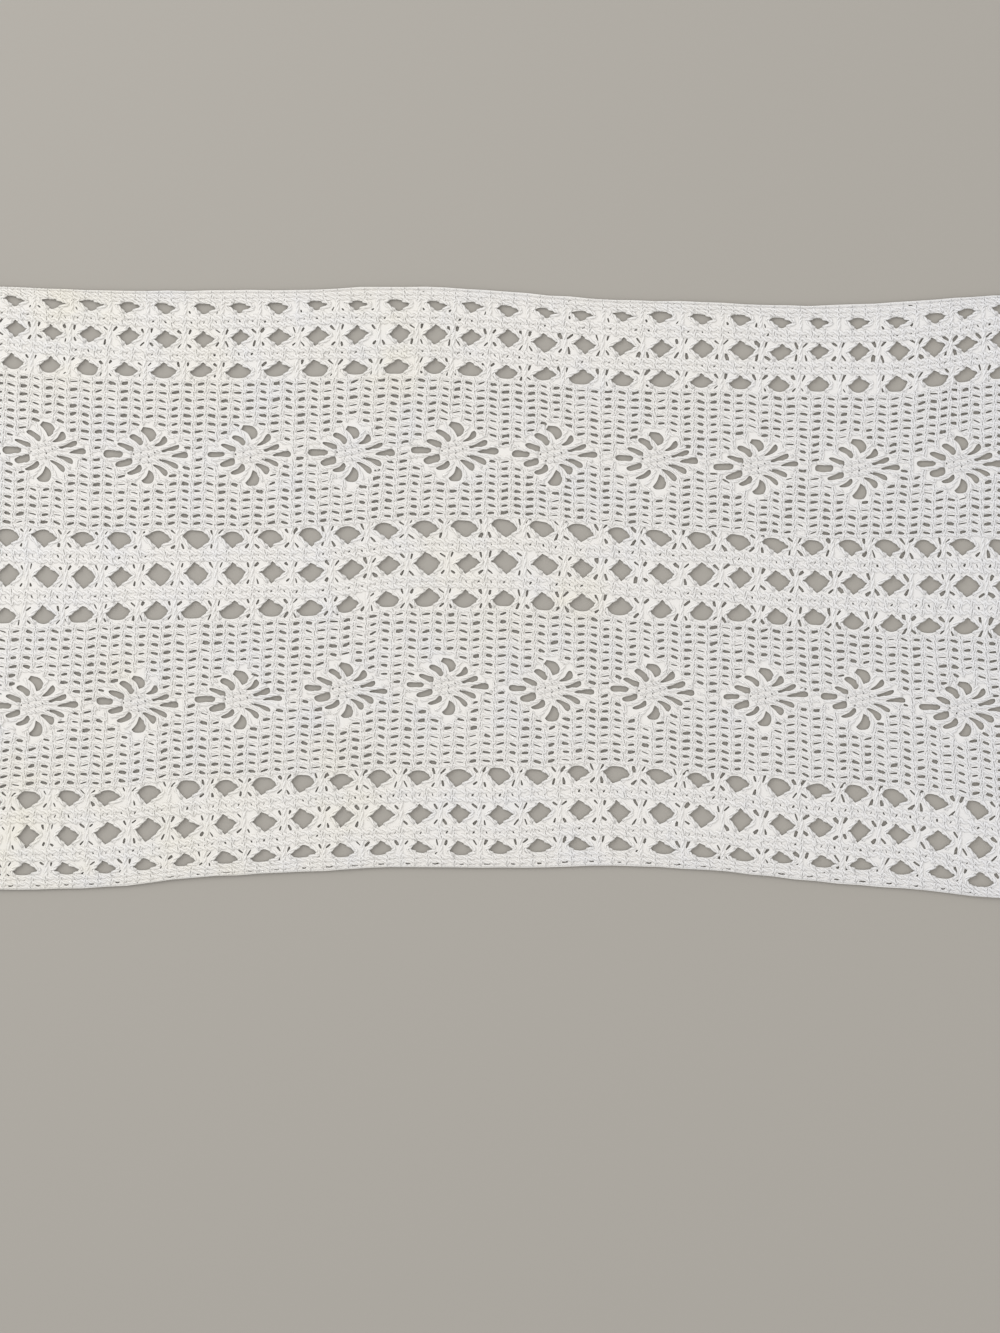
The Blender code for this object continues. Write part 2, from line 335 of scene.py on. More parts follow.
def slotOutline(inner, outer, widths, bow, uneven):
    # a slot with round ends whose middle line is bowed
    along = outer - inner
    long = np.linalg.norm(along)
    ahead = along / long
    left = np.array([-ahead[1], ahead[0]])
    stations = (0.0, 0.12, 0.45, 0.82, 1.0)
    fullness = (0.35, 1.0, 1.0, 1.0, 0.45)
    sides = []
    for sign, varied in zip((-1, 1), uneven):
        side = []
        for s, full, vary in zip(stations, fullness, varied):
            half = (widths[0] * (1 - s) + widths[1] * s) / 2 * full * vary
            side.append(inner + ahead * long * s + left * (bow * 4 * s * (1 - s) + sign * half))
        sides.append(side)
    return np.array(sides[0] + sides[1][::-1])


def slotSides(inner, outer, widths):
    # the left and the right side of a slot, each from its inner to its outer end
    ahead = (outer - inner) / np.linalg.norm(outer - inner)
    left = np.array([-ahead[1], ahead[0]]) / 2
    ways = (left, -left)
    return [np.array([inner + way * widths[0], outer + way * widths[1]]) for way in ways]


def holeSides(loop, middle):
    # the same for a spider's big hole, out to its outer corners
    away = loop - middle
    ahead = away.mean(axis=0) / np.linalg.norm(away.mean(axis=0))
    left = np.array([-ahead[1], ahead[0]])
    inner = loop[np.linalg.norm(away, axis=1).argmin()]
    return [np.array([inner, loop[(away @ (ahead + left * side)).argmax()]]) for side in (1, -1)]


taken = {}   # the rims of the cuts made so far, as points sorted into square cells
apart = {"cuts": 0.5 * mm, "cell": 0.8 * mm, "step": 0.4 * mm}   # step: between two points of a rim


def rimPoints(shape):
    spans = np.roll(shape, -1, axis=0) - shape
    for start, span in zip(shape, spans):
        count = max(1, int(np.linalg.norm(span) / apart["step"]))
        for k in range(count):
            x, y = start + span * k / count
            yield x, y, (math.floor(x / apart["cell"]), math.floor(y / apart["cell"]))


def take(shape):
    for x, y, cell in rimPoints(shape):
        taken.setdefault(cell, []).append((x, y))


def isClear(shape):
    # cuts that touch would spoil the filling of the sheet, so each is kept apart from the others
    for x, y, (column, level) in rimPoints(shape):
        for cell in ((column + i, level + j) for i in (-1, 0, 1) for j in (-1, 0, 1)):
            for otherX, otherY in taken.get(cell, ()):
                if math.hypot(x - otherX, y - otherY) < apart["cuts"]:
                    return False
    return True


def cut(make, sizes=(1,)):
    # makes a cut as large as it fits and tells its size, which is 0 where none fits
    for size in sizes:
        shape = make(size)
        if isClear(shape):
            take(shape)
            cuts.append(shape)
            return size
    return 0


for shape in [outline, *softHoles]:
    take(shape)
cuts = list(softHoles)
spiderSlots = []   # for each spider, a list of its ten smaller slots
for middle in spiderMiddles:
    turn = math.radians(rng.uniform(-spider["turn"], spider["turn"]))
    turned = np.array([[math.cos(turn), -math.sin(turn)], [math.sin(turn), math.cos(turn)]])
    slots = []
    for x0, y0, x1, y1, innerWidth, outerWidth, bow in slotPlan:
        fat = rng.uniform(*slotSpread["fat"])
        inner = turned @ np.array([x0, y0]) * mm * rng.uniform(*slotSpread["inner"]) + middle
        outer = turned @ np.array([x1, y1]) * mm * rng.uniform(*slotSpread["outer"]) + middle
        widths = np.array([innerWidth, outerWidth]) * fat * mm
        uneven = rng.uniform(*slotSpread["sides"], (2, 5))

        def slot(share):
            shape = slotOutline(inner, outer, widths * share, bow * mm, uneven)
            return softened(shape, steps=2, sharpFrom=75)

        fits = cut(slot, slotSpread["sizes"])
        slots.append((slotSides(inner, outer, widths * fits), bow * mm))
    spiderSlots.append(slots)
openings = {
    # the yarn of the stitches keeps this far from the openings
    "spiders": {"rims": [softHoles[n] for n in spiderHoles] + cuts[len(softHoles):], "margin": 1.0 * mm},
    "bands": {"rims": [softHoles[n] for n in sorted(inBands)], "margin": 0.6 * mm},
}
for opening in openings.values():
    # rings inside each rim too, so that no yarn counts as clear in the middle of an opening
    rings = [
        shape.mean(axis=0) + (shape - shape.mean(axis=0)) * share
        for shape in opening["rims"] for share in (1, 0.8, 0.6, 0.4, 0.2)
    ]
    places = [(x, y, 0) for ring in rings for x, y, cell in rimPoints(ring)]
    opening["tree"] = KDTree(len(places))
    for number, place in enumerate(places):
        opening["tree"].insert(place, number)
    opening["tree"].balance()


def offOpenings(places):
    # which of the places lie clear of the openings
    clear = [
        all(opening["tree"].find((x, y, 0))[2] > opening["margin"] for opening in openings.values())
        for x, y in places.reshape(-1, 2)
    ]
    return np.array(clear).reshape(places.shape[:-1])


def farFromSpiders(places):
    # 1 on the diamond that a spider's legs reach
    away = np.abs(places[..., None, :] - spiderMiddles) / spider["reach"]
    return away.sum(axis=-1).min(axis=-1)


def meshOf(curve, name):
    holder = bpy.data.objects.new(name, curve)
    bpy.context.scene.collection.objects.link(holder)
    graph = bpy.context.evaluated_depsgraph_get()
    made = bpy.data.meshes.new_from_object(holder.evaluated_get(graph))
    bpy.data.objects.remove(holder)
    bpy.data.curves.remove(curve)
    bm = bmesh.new()
    bm.from_mesh(made)
    bmesh.ops.remove_doubles(bm, verts=bm.verts, dist=0.002 * mm)
    bm.to_mesh(made)
    bm.free()
    made.name = name
    return made


def yarnShape(name, lines, radius):
    # four-sided yarn along each of the lines, closed at its ends
    curve = bpy.data.curves.new(name, "CURVE")
    curve.dimensions = "3D"
    curve.bevel_depth = radius
    curve.bevel_resolution = 0
    curve.use_fill_caps = True
    for points in lines:
        spline = curve.splines.new("POLY")
        spline.points.add(len(points) - 1)
        for point, place in zip(spline.points, points):
            point.co = (*place, 1)
    mesh = meshOf(curve, name)
    mesh.shade_smooth()
    return mesh


def stacked(unit, count):
    # so many copies of the unit in one mesh, all in the same place
    holder = bpy.data.objects.new("stack", unit)
    bpy.context.scene.collection.objects.link(holder)
    copies = holder.modifiers.new("copies", "ARRAY")
    copies.use_relative_offset = False
    copies.use_constant_offset = True
    copies.constant_offset_displace = (0, 0, 0)
    copies.count = count
    graph = bpy.context.evaluated_depsgraph_get()
    made = bpy.data.meshes.new_from_object(holder.evaluated_get(graph))
    bpy.data.objects.remove(holder)
    return made


def layYarn(unit, unitLength, paths, wide=1.0):
    # bends a copy of the unit, which lies along x, to each of the paths (count, points, 2)
    paths = np.asarray(paths)
    rest = np.zeros(len(unit.vertices) * 3)
    unit.vertices.foreach_get("co", rest)
    rest = rest.reshape(-1, 3)
    made = stacked(unit, len(paths))
    spans = paths.shape[1] - 1
    steps = rest[:, 0] / unitLength * spans
    first = np.clip(np.floor(steps).astype(int), 0, spans - 1)
    share = (steps - first)[None, :, None]
    middle = paths[:, first] * (1 - share) + paths[:, first + 1] * share
    heading = np.gradient(paths, axis=1)
    heading /= np.linalg.norm(heading, axis=-1, keepdims=True)
    share = np.clip(share, 0, 1)
    heading = heading[:, first] * (1 - share) + heading[:, first + 1] * share
    aside = np.stack([-heading[..., 1], heading[..., 0]], axis=-1)
    placed = np.zeros((len(paths), len(rest), 3))
    placed[..., :2] = middle + aside * rest[None, :, 1:2] * np.reshape(wide, (-1, 1, 1))
    placed[..., 2] = rest[None, :, 2]
    made.vertices.foreach_set("co", placed.ravel())
    made.update()
    return made


def joined(name, meshes):
    bm = bmesh.new()
    for mesh in meshes:
        bm.from_mesh(mesh)
    made = bpy.data.meshes.new(name)
    bm.to_mesh(made)
    bm.free()
    made.shade_smooth()
    piece = bpy.data.objects.new(name, made)
    bpy.context.scene.collection.objects.link(piece)
    return piece


# the three forms that the yarn takes: a post, a chain, and the head of a stitch
post = {
    "length": 6.4 * mm, "side": 0.72 * mm, "rise": 0.40 * mm, "middle": 1.07 * mm,
    "yarn": 0.62 * mm, "turns": 1.0, "segments": 5, "stagger": 0.4 * mm,
}
chain = {
    "length": 8.0 * mm, "side": 0.52 * mm, "rise": 0.34 * mm, "middle": 1.1 * mm,
    "yarn": 0.56 * mm, "turns": 1.5, "segments": 9, "stagger": 0.0,
}
head = {
    "length": 4.0 * mm, "tail": 1.2 * mm, "tip": 1.5 * mm, "nose": 1.08,
    "yarn": 0.50 * mm, "slant": 0.3 * mm,
}


def twisted(form, phase):
    # one of the two strands that wind round each other; one of them starts and ends a little further on
    points = []
    onward = form["stagger"] * (1 if phase else -1)
    for step in range(form["segments"] + 1):
        s = step / form["segments"]
        turn = 2 * math.pi * form["turns"] * s + phase
        y = form["side"] * math.cos(turn)
        points.append((form["length"] * s + onward, y, form["middle"] + form["rise"] * math.sin(turn)))
    return points


postYarn = yarnShape("postYarn", [twisted(post, 0), twisted(post, math.pi)], post["yarn"])
chainYarn = yarnShape("chainYarn", [twisted(chain, 0), twisted(chain, math.pi)], chain["yarn"])
# the head of a stitch is a loop that opens over the tail of the next
headSide = ((-0.2, 0.25), (0.25, 0.65), (0.8, 0.58))   # share of its length, and mm aside
headRise = head["tip"] - head["tail"]
headLoop = [(s * head["length"], -y * mm, head["tail"] + headRise * s) for s, y in headSide]
headLoop.append((head["nose"] * head["length"], 0, head["tip"]))
headLoop += [(x, -y, z) for x, y, z in reversed(headLoop[:-1])]
headYarn = yarnShape("headYarn", [headLoop], head["yarn"])
for unit in (postYarn, chainYarn, headYarn):
    print(unit.name, "triangles", sum(len(face.vertices) - 2 for face in unit.polygons))

rows = np.arange(rowPlan["firstRow"], rowPlan["lastRow"])
stitchPlan = {
    "shares": (0.06, 0.98),     # where in its row a post starts and ends
    "shortest": 0.35,           # a post that a spider cuts shorter than this is left out
    "leanSpread": (0.6, 1.4), "wander": 0.08 * mm, "headUneven": 0.6,
    "closes": 0.3,              # the rows at the two ends are closed this share of a row inside them
}


def postPaths(region):
    # the posts of a region, each with how wide it is; a post that meets a spider ends in front of it
    line, borders = region["line"], postBorders(region)
    widths = np.diff(borders) / np.median(np.diff(borders))
    row, share = np.meshgrid(rows, (borders[1:] + borders[:-1]) / 2, indexing="ij")
    wide = np.broadcast_to(widths, row.shape).ravel() * kinds[region["kind"]]["fullness"]
    row, share = row.ravel()[:, None], share.ravel()[:, None]
    probes = np.linspace(*stitchPlan["shares"], 13)
    u = row + probes
    places = at(u, between(line, share, u))
    outside = (farFromSpiders(places) > spider["postClear"]) & offOpenings(places)
    start = np.where(outside[:, 0], probes[0], probes[outside.argmax(axis=1)])
    end = np.where(outside[:, -1], probes[-1], probes[len(probes) - 1 - outside[:, ::-1].argmax(axis=1)])
    halfOutside = outside[:, 0] != outside[:, -1]
    keep = outside.all(axis=1) | (halfOutside & (end - start > stitchPlan["shortest"]))
    stations = np.linspace(0, 1, 7)
    u = row + start[:, None] + (end - start)[:, None] * stations
    paths = at(u, between(line, share, u))
    lean = np.where(row % 2 == 0, *rowTilt) * rng.uniform(*stitchPlan["leanSpread"], (len(row), 1))
    paths[..., 1] += lean * np.sin(2 * math.pi * (u - row))
    uneven = (kinds[region["kind"]]["uneven"] * mm, stitchPlan["wander"])
    paths += rng.normal(0, 1, (len(row), 1, 2)) * uneven
    return paths[keep], wide[keep]


def headPaths(region):
    # the heads that close each row run across the runner, up one row and down the next
    line, borders = region["line"], postBorders(region)
    closing = np.arange(rowPlan["firstRow"], rowPlan["lastRow"] + 1).astype(float)
    closing[0] += stitchPlan["closes"]
    closing[-1] -= stitchPlan["closes"]
    row, number = np.meshgrid(closing, np.arange(region["posts"]), indexing="ij")
    row, number = row.ravel(), number.ravel()
    ends = borders[number][:, None] + np.diff(borders)[number][:, None] * np.array([0, 0.5, 1])
    margin = kinds[region["kind"]]["headMargin"]
    ends = np.clip(ends, margin, 1 - margin)
    upward = (np.round(row).astype(int) % 2 == 0)[:, None]
    ends = np.where(upward, ends[:, ::-1], ends)
    u = np.repeat(row[:, None], 3, axis=1)
    paths = at(u, between(line, ends, u))
    uneven = stitchPlan["headUneven"] * kinds[region["kind"]]["uneven"] * mm
    paths[..., 0] += rng.normal(0, uneven, (len(row), 1))
    paths[..., 0] += np.linspace(-1, 1, 3) * head["slant"]
    keep = farFromSpiders(paths[:, 1]) > spider["postClear"] + spider["headClear"]
    return paths[keep & offOpenings(paths).all(axis=1)]


print("laying the stitches")
yarnPieces = []
bandMeshes = {"backBand": [], "middleBand": [], "frontBand": []}


def bandOf(line):
    # the meshes of the band with this line of holes; each band has three, and 0 is the back edge
    return bandMeshes[list(bandMeshes)[(max(line, 1) - 1) // 3]]


for region in regions:
    paths, wide = postPaths(region)
    postMesh = layYarn(postYarn, post["length"], paths, wide)
    headMesh = layYarn(headYarn, head["length"], headPaths(region))
    if region["kind"] == "field":
        side = "back" if region["line"] == 3 else "front"
        yarnPieces.append(joined(side + "FieldPosts", [postMesh]))
        yarnPieces.append(joined(side + "FieldHeads", [headMesh]))
    else:
        bandOf(region["line"]).extend([postMesh, headMesh])

# beyond the outermost holes the lines of holes are plain double crochet too
endPlan = {"rows": 3, "postPitch": 4.2 * mm, "wide": 1.3}


def endStitches(line, row):
    # the posts and the heads of one of those rows, across the strip that the holes would lie in
    back = np.interp(row + 0.5, knots, reachBack[line])
    front = np.interp(row + 0.5, knots, reachFront[line])
    count = max(1, round((back + front) / endPlan["postPitch"]))
    borders = np.linspace(back, -front, count + 1)
    u = row + np.linspace(*stitchPlan["shares"], 7)
    lean = rowTilt[int(row) % 2] * np.sin(2 * math.pi * (u - row))
    # the row next to a waist is closed by the strands there, so the heads lie on its other side
    closing = row if row < 0 else row + 1
    if row in (rows[0], rows[-1]):
        closing = closing + math.copysign(stitchPlan["closes"], -row)
    posts, heads = [], []
    for one, other in zip(borders[:-1], borders[1:]):
        posts.append(at(u, line) + np.stack([np.zeros(7), (one + other) / 2 + lean], axis=-1))
        levels = np.linspace(one, other, 3) if round(closing) % 2 else np.linspace(other, one, 3)
        slant = np.linspace(-1, 1, 3) * head["slant"]
        heads.append(at(closing, line) + np.stack([slant, levels], axis=-1))
    return posts, heads


for line in range(1, rowPlan["holeLines"] + 1):
    posts, heads = [], []
    for row in (*rows[:endPlan["rows"]], *rows[-endPlan["rows"]:]):
        rowPosts, rowHeads = endStitches(line, row)
        posts += rowPosts
        heads += rowHeads
    bandOf(line).append(layYarn(postYarn, post["length"], posts, endPlan["wide"]))
    bandOf(line).append(layYarn(headYarn, head["length"], heads))

# a chain at each end of the rows, along the two long edges
for line, share in ((0, edgePlan["chainShare"]), (9, 1 - edgePlan["chainShare"])):
    u = rows[:, None] + np.linspace(0.02, 0.98, 7)
    paths = at(u, between(line, share, u))
    bandOf(line).append(layYarn(chainYarn, chain["length"], paths, edgePlan["chainWide"]))
# and one along each of the two short ends
endChain = {"inset": 0.8 * mm, "spans": 6}   # how far inside the edge it lies, and the spans of each chain
endPaths = []
for end, sign in ((leftEnd, 1), (rightEnd, -1)):
    count = round(np.ptp(end[:, 1]) / rowPlan["rowPitch"])
    spans, inset = endChain["spans"], endChain["inset"]
    levels = np.linspace(end[0, 1] + inset, end[-1, 1] - inset, count * spans + 1)
    places = np.stack([np.interp(levels, end[:, 1], end[:, 0]) + sign * inset, levels], axis=-1)
    endPaths += [places[k * spans:(k + 1) * spans + 1] for k in range(count)]
endMesh = layYarn(chainYarn, chain["length"], endPaths, edgePlan["chainWide"])
yarnPieces.append(joined("endChains", [endMesh]))

# between two holes the chains of three rows are gathered at the waist
gather = {
    # a strand: how far it lies from the hole, how much of the hole's side it follows, and how far it
    # runs into the block; the middle one of three runs straight on over the block's edge
    "offset": 1.15 * mm, "from": 0.62, "into": 1.9 * mm, "over": 1.0 * mm, "strandWide": 1.15,
    # the two slits on each side of the waist: how far aside, and at what share of the holes' reach
    "pointedAside": 2.3 * mm, "pointedUp": 0.78, "roundAside": 2.25 * mm, "roundUp": 0.8,
    "asideSpread": (0.85, 1.2), "leanSpread": (0.3, 2.0), "flare": (-0.1, 0.5), "levelSpread": (0.88, 1.08),
    "slitLength": 3.7 * mm, "slitWidth": 1.35 * mm, "slitLean": 0.5, "shown": 0.92,
    "lengthSpread": (0.7, 1.15), "widthSpread": (0.55, 1.2), "sizes": (1, 0.8, 0.6),
    "wideShare": 0.18, "wideBy": 1.3,
    "grows": 0.25,   # they are this share larger at the right end, and smaller at the left one
    "scarceLength": 0.6, "scarceWidth": 0.7,
}
roundBack, roundFront = (1, 4, 7), (3, 6, 9)   # the lines whose holes are round on that side


def rimAt(loop, level, right):
    # x of the hole's right or left side at a level
    top, bottom = int(loop[:, 1].argmax()), int(loop[:, 1].argmin())
    # anticlockwise from the top runs down the left side
    first, last = (bottom, top) if right else (top, bottom)
    order = np.arange(first, last + 1 if last >= first else last + 1 + len(loop))
    side = loop[order % len(loop)]
    side = side[np.argsort(side[:, 1])]
    return np.interp(level, side[:, 1], side[:, 0])


def strandPath(loop, right):
    # along a hole's side, and into the block beyond it at either end
    middle = holeMiddle(loop)
    up = (loop[:, 1].max() - middle[1]) * gather["from"]
    down = (middle[1] - loop[:, 1].min()) * gather["from"]
    shares = np.linspace(-1, 1, 9)
    levels = middle[1] + np.where(shares < 0, shares * down, shares * up)
    x = rimAt(loop, levels, right) + (1 if right else -1) * gather["offset"]
    path = np.stack([x, levels], axis=-1)
    first = path[0] + (path[0] - path[2]) / np.linalg.norm(path[0] - path[2]) * gather["into"]
    last = path[-1] + (path[-1] - path[-3]) / np.linalg.norm(path[-1] - path[-3]) * gather["into"]
    return np.concatenate([[first], path, [last]])


# on these sides of the outermost lines few of the slits show, and they are small
scarce = {(1, 1): 0.0, (1, -1): 0.4, (3, -1): 0.5, (9, -1): 0.35}
gatherSlits = []   # place, angle, how it flares, and the share of such slits that show
for line, numbers in enumerate(bandHoles, start=1):
    strands = []
    for column in range(len(numbers) + 1):
        sides = []
        if column > 0:
            sides.append(strandPath(softHoles[numbers[column - 1]], True))
        if column < len(numbers):
            sides.append(strandPath(softHoles[numbers[column]], False))
        strands += sides
        row = rowPlan["firstHoleRow"] + rowPlan["rowsPerHole"] * (column - 0.5)
        waist = (sides[0][5] + sides[1][5]) / 2 if len(sides) == 2 else at(row, line)
        back = np.interp(row, knots, reachBack[line])
        front = np.interp(row, knots, reachFront[line])
        low = np.linspace(-front - gather["over"], -0.2 * front, 5)
        levels = np.concatenate([low, np.linspace(0, back + gather["over"], 6)])
        strands.append(waist + np.stack([np.zeros(11), levels], axis=-1))
        for toBack in (1, -1):
            isRound = line in (roundBack if toBack > 0 else roundFront)
            high = (back if toBack > 0 else front) * gather["roundUp" if isRound else "pointedUp"]
            for sign in (-1, 1):
                aside = gather["roundAside" if isRound else "pointedAside"]
                aside = aside * rng.uniform(*gather["asideSpread"])
                lean = math.pi / 2 - sign * toBack * gather["slitLean"] * rng.uniform(*gather["leanSpread"])
                flare = toBack * rng.uniform(*gather["flare"])
                level = toBack * high * rng.uniform(*gather["levelSpread"])
                shown = scarce.get((line, toBack), gather["shown"])
                gatherSlits.append((waist + (sign * aside, level), lean, flare, shown))
    bandOf(line).append(layYarn(chainYarn, chain["length"], strands, gather["strandWide"]))
for name, meshes in bandMeshes.items():
    yarnPieces.append(joined(name, meshes))

# the spiders: a chain for each leg, and a body in single crochet
legPaths, bodyPaths = [], []
for middle, slots in zip(spiderMiddles, spiderSlots):
    nearest = sorted(spiderHoles, key=lambda n: np.linalg.norm(middles[n] - middle))[:2]
    back, front = sorted(nearest, key=lambda n: -middles[n, 1])
    # clockwise from the back, the sides and the bow of each opening
    around = [(holeSides(softHoles[back], middle), 0), *slots[:5],
              (holeSides(softHoles[front], middle), 0), *slots[5:]]
    for (one, oneBow), (other, otherBow) in zip(around, [*around[1:], around[0]]):
        inner, outer = (one[1] + other[0]) / 2
        inner = middle + (inner - middle) * spider["legFrom"]
        outer = middle + (outer - middle) * spider["legTo"]
        along = outer - inner
        left = np.array([-along[1], along[0]]) / np.linalg.norm(along)
        bow = (oneBow + otherBow) / 2
        shares = np.linspace(0, 1, 7)[:, None]
        legPaths.append(inner + along * shares + left * bow * 4 * shares * (1 - shares))
    for column, count in enumerate(spider["bodyRows"]):
        x = (column - len(spider["bodyRows"]) / 2) * spider["stitch"] + spider["bodyShift"]
        for k in range(count):
            y = (k - (count - 1) / 2) * spider["bodyPitch"]
            y = y - spider["bodyStagger"] * (1 if column % 2 else -1)
            shares = np.linspace(*spider["stitchShares"], 7)[:, None]
            bodyPaths.append(middle + np.array([x, y]) + shares * (spider["stitch"], spider["stitchLean"]))
spiderMeshes = [
    layYarn(chainYarn, chain["length"], legPaths, spider["legWide"]),
    layYarn(postYarn, post["length"], bodyPaths, 1.0),
]
yarnPieces.append(joined("spiders", spiderMeshes))

# the ground: one thin sheet with every hole and slit in it
print("cutting the ground sheet")
ground = {"bottom": 0.55 * mm, "top": 1.05 * mm}
slitKinds = {
    # shown: the share of the slits that can be seen; faint: the share of those that are almost closed;
    # lean: in radians, up one row and down the next
    "field": {"length": 3.9 * mm, "width": 1.4 * mm, "shown": 1.0, "faint": 0.14, "lean": 0.0},
    "block": {"length": 1.9 * mm, "width": 0.9 * mm, "shown": 0.85, "faint": 0.5, "lean": 0.9},
    "edge": {"length": 1.6 * mm, "width": 0.7 * mm, "shown": 0.4, "faint": 0.5, "lean": 0.9},
}
slitSpread = {
    "angle": 0.09, "place": 0.12 * mm, "width": 0.2, "widest": (0.6, 1.5), "faintBy": 0.5,
    "length": (0.82, 1.12), "flare": (-0.35, 0.35), "sizes": (1, 0.75),
}
# the gaps inside the turning chains, along the two long edges
edgeGaps = [
    {"line": 0, "share": 0.33, "length": 2.2 * mm, "width": 0.75 * mm, "shown": 0.6},
    {"line": 9, "share": 0.74, "length": 3.4 * mm, "width": 0.95 * mm, "shown": 0.9},
]
edgeSpread = {"angle": 0.12, "place": 0.15 * mm, "length": (0.6, 1.1)}


def slit(place, angle, length, width, tapered=0.0):
    # six-sided; tapered from -1 to 1 makes one end wider than the other
    shares = np.array([(-1, -0.5), (-0.3, -1), (0.8, -0.8), (1, 0.5), (0.3, 1), (-0.8, 0.8)])
    points = shares * (length / 2, width / 2)
    points[:, 1] *= 1 + tapered * shares[:, 0]
    turned = np.array([[math.cos(angle), math.sin(angle)], [-math.sin(angle), math.cos(angle)]])
    return points @ turned + place


halfLong = np.ptp(outline[:, 0]) / 2
for place, angle, flare, shown in gatherSlits:
    grown = 1 + gather["grows"] * place[0] / halfLong
    length = gather["slitLength"] * rng.uniform(*gather["lengthSpread"]) * grown
    width = gather["slitWidth"] * rng.uniform(*gather["widthSpread"]) * grown
    width *= gather["wideBy"] if rng.random() < gather["wideShare"] else 1.0
    if shown < gather["shown"]:
        length, width = gather["scarceLength"] * length, gather["scarceWidth"] * width
    if rng.random() < shown:
        cut(lambda size: slit(place, angle, length * size, width * size, flare), gather["sizes"])
for middle in spiderMiddles:
    for dot in bodyDots:
        place = middle + (np.array(dot) + rng.normal(0, dotPlan["wander"], 2)) * mm
        width = dotPlan["width"] * rng.uniform(*dotPlan["spread"])
        cut(lambda size: slit(place, math.pi / 2, dotPlan["length"], width))
for region in regions:
    line, borders = region["line"], postBorders(region)
    kind = slitKinds[region["kind"]]
    lines = borders[1:-1]
    if region["kind"] == "field":
        lines = np.delete(lines, len(lines) // 2)
    row, share = np.meshgrid(rows, lines, indexing="ij")
    row, share = row.ravel() + 0.5, share.ravel()
    places = at(row, between(line, share, row))
    before, after = row - 0.3, row + 0.3
    ahead = at(after, between(line, share, after)) - at(before, between(line, share, before))
    slope = np.arctan2(ahead[:, 1], ahead[:, 0])
    keep = (farFromSpiders(places) > spider["slitClear"]) & (rng.random(len(row)) < kind["shown"])
    for k in np.flatnonzero(keep):
        lean = rowTilt[int(row[k] - 0.5) % 2]
        lean = -math.atan(2 * math.pi * lean / rowPlan["rowPitch"]) - math.copysign(kind["lean"], lean)
        angle = slope[k] + lean + rng.normal(0, slitSpread["angle"])
        width = kind["width"] * np.clip(rng.normal(1, slitSpread["width"]), *slitSpread["widest"])
        if rng.random() < kind["faint"]:
            width *= slitSpread["faintBy"]
        place = places[k] + rng.normal(0, slitSpread["place"], 2)
        length = kind["length"] * rng.uniform(*slitSpread["length"])
        flare = rng.uniform(*slitSpread["flare"])
        cut(lambda size: slit(place, angle, length * size, width, flare), slitSpread["sizes"])
for gap in edgeGaps:
    for row in rows[::2]:
        place = at(row + 0.5, between(gap["line"], gap["share"], row + 0.5))
        place = place + rng.normal(0, edgeSpread["place"], 2)
        angle = rng.normal(0, edgeSpread["angle"])
        length = gap["length"] * rng.uniform(*edgeSpread["length"])
        if rng.random() < gap["shown"]:
            cut(lambda size: slit(place, angle, length, gap["width"]))
print("cuts in the ground sheet:", len(cuts))


def groundSheet():
    curve = bpy.data.curves.new("ground", "CURVE")
    curve.dimensions = "2D"
    curve.fill_mode = "BOTH"
    curve.extrude = (ground["top"] - ground["bottom"]) / 2
    for points in [outline, *cuts]:
        spline = curve.splines.new("POLY")
        spline.points.add(len(points) - 1)
        for point, (x, y) in zip(spline.points, points):
            point.co = (x, y, 0, 1)
        spline.use_cyclic_u = True
    mesh = meshOf(curve, "crochetGround")
    places = np.zeros(len(mesh.vertices) * 3)
    mesh.vertices.foreach_get("co", places)
    places[2::3] += (ground["top"] + ground["bottom"]) / 2
    mesh.vertices.foreach_set("co", places)
    piece = bpy.data.objects.new("crochetGround", mesh)
    bpy.context.scene.collection.objects.link(piece)
    return piece


groundPiece = groundSheet()


def linear(hexColour):
    # an sRGB hex value as linear colour
    values = [int(hexColour[k:k + 2], 16) / 255 for k in (1, 3, 5)]
    return (*[v / 12.92 if v <= 0.04045 else ((v + 0.055) / 1.055) ** 2.4 for v in values], 1)


def addNode(tree, kind, inputs, **settings):
    made = tree.nodes.new(kind)
    for name, value in settings.items():
        setattr(made, name, value)
    for name, value in inputs.items():
        if isinstance(value, bpy.types.NodeSocket):
            tree.links.new(value, made.inputs[name])
        else:
            made.inputs[name].default_value = value
    return made


cotton = {
    "colour": "#E6E4E1",
    "yellowed": "#E5E1D3",
    "cool": "#E0E1E5",     # in cloudy spots, and all over towards the right end
    "coolFrom": 0.04, "coolTo": 0.26, "coolShare": 0.7,
    "paintedShade": "#D2CFC9",     # painted shade: yarn that lies deep in the work is painted greyer, standing in for the shade between the stitches
    "paintedShadeFrom": 1.9 * mm, "paintedShadeTo": 0.9 * mm, "paintedShadeShare": 0.4,
    "roughness": 0.92,
    "sheen": 0.25,
    "patches": 30.0, "clouds": 38.0,   # to a metre
    "fibre": 0.35 * mm, "fibreDepth": 0.12 * mm,   # drawn coarser than real fibres so that it shows
    "plies": 4.0, "plyDepth": 0.15 * mm,
}
# old yellowish stains, in mm: where they are, how wide they are and how strong
stains = [
    # x, y, radius, strength
    (-225, 138, 55, 0.6),
    (-160, 122, 45, 0.3),
    (-60, 124, 50, 0.45),
    (-20, 6, 60, 0.3),
    (33, 2, 22, 0.7),
    (-190, -52, 34, 0.4),
    (-230, -120, 60, 0.7),
    (-150, -125, 55, 0.6),
    (-80, -105, 50, 0.4),
    (90, 118, 45, 0.25),
]


def ranged(tree, value, given, wanted):
    made = addNode(tree, "ShaderNodeMapRange", {
        "Value": value,
        "From Min": given[0], "From Max": given[1],
        "To Min": wanted[0], "To Max": wanted[1],
    })
    return made.outputs["Result"]


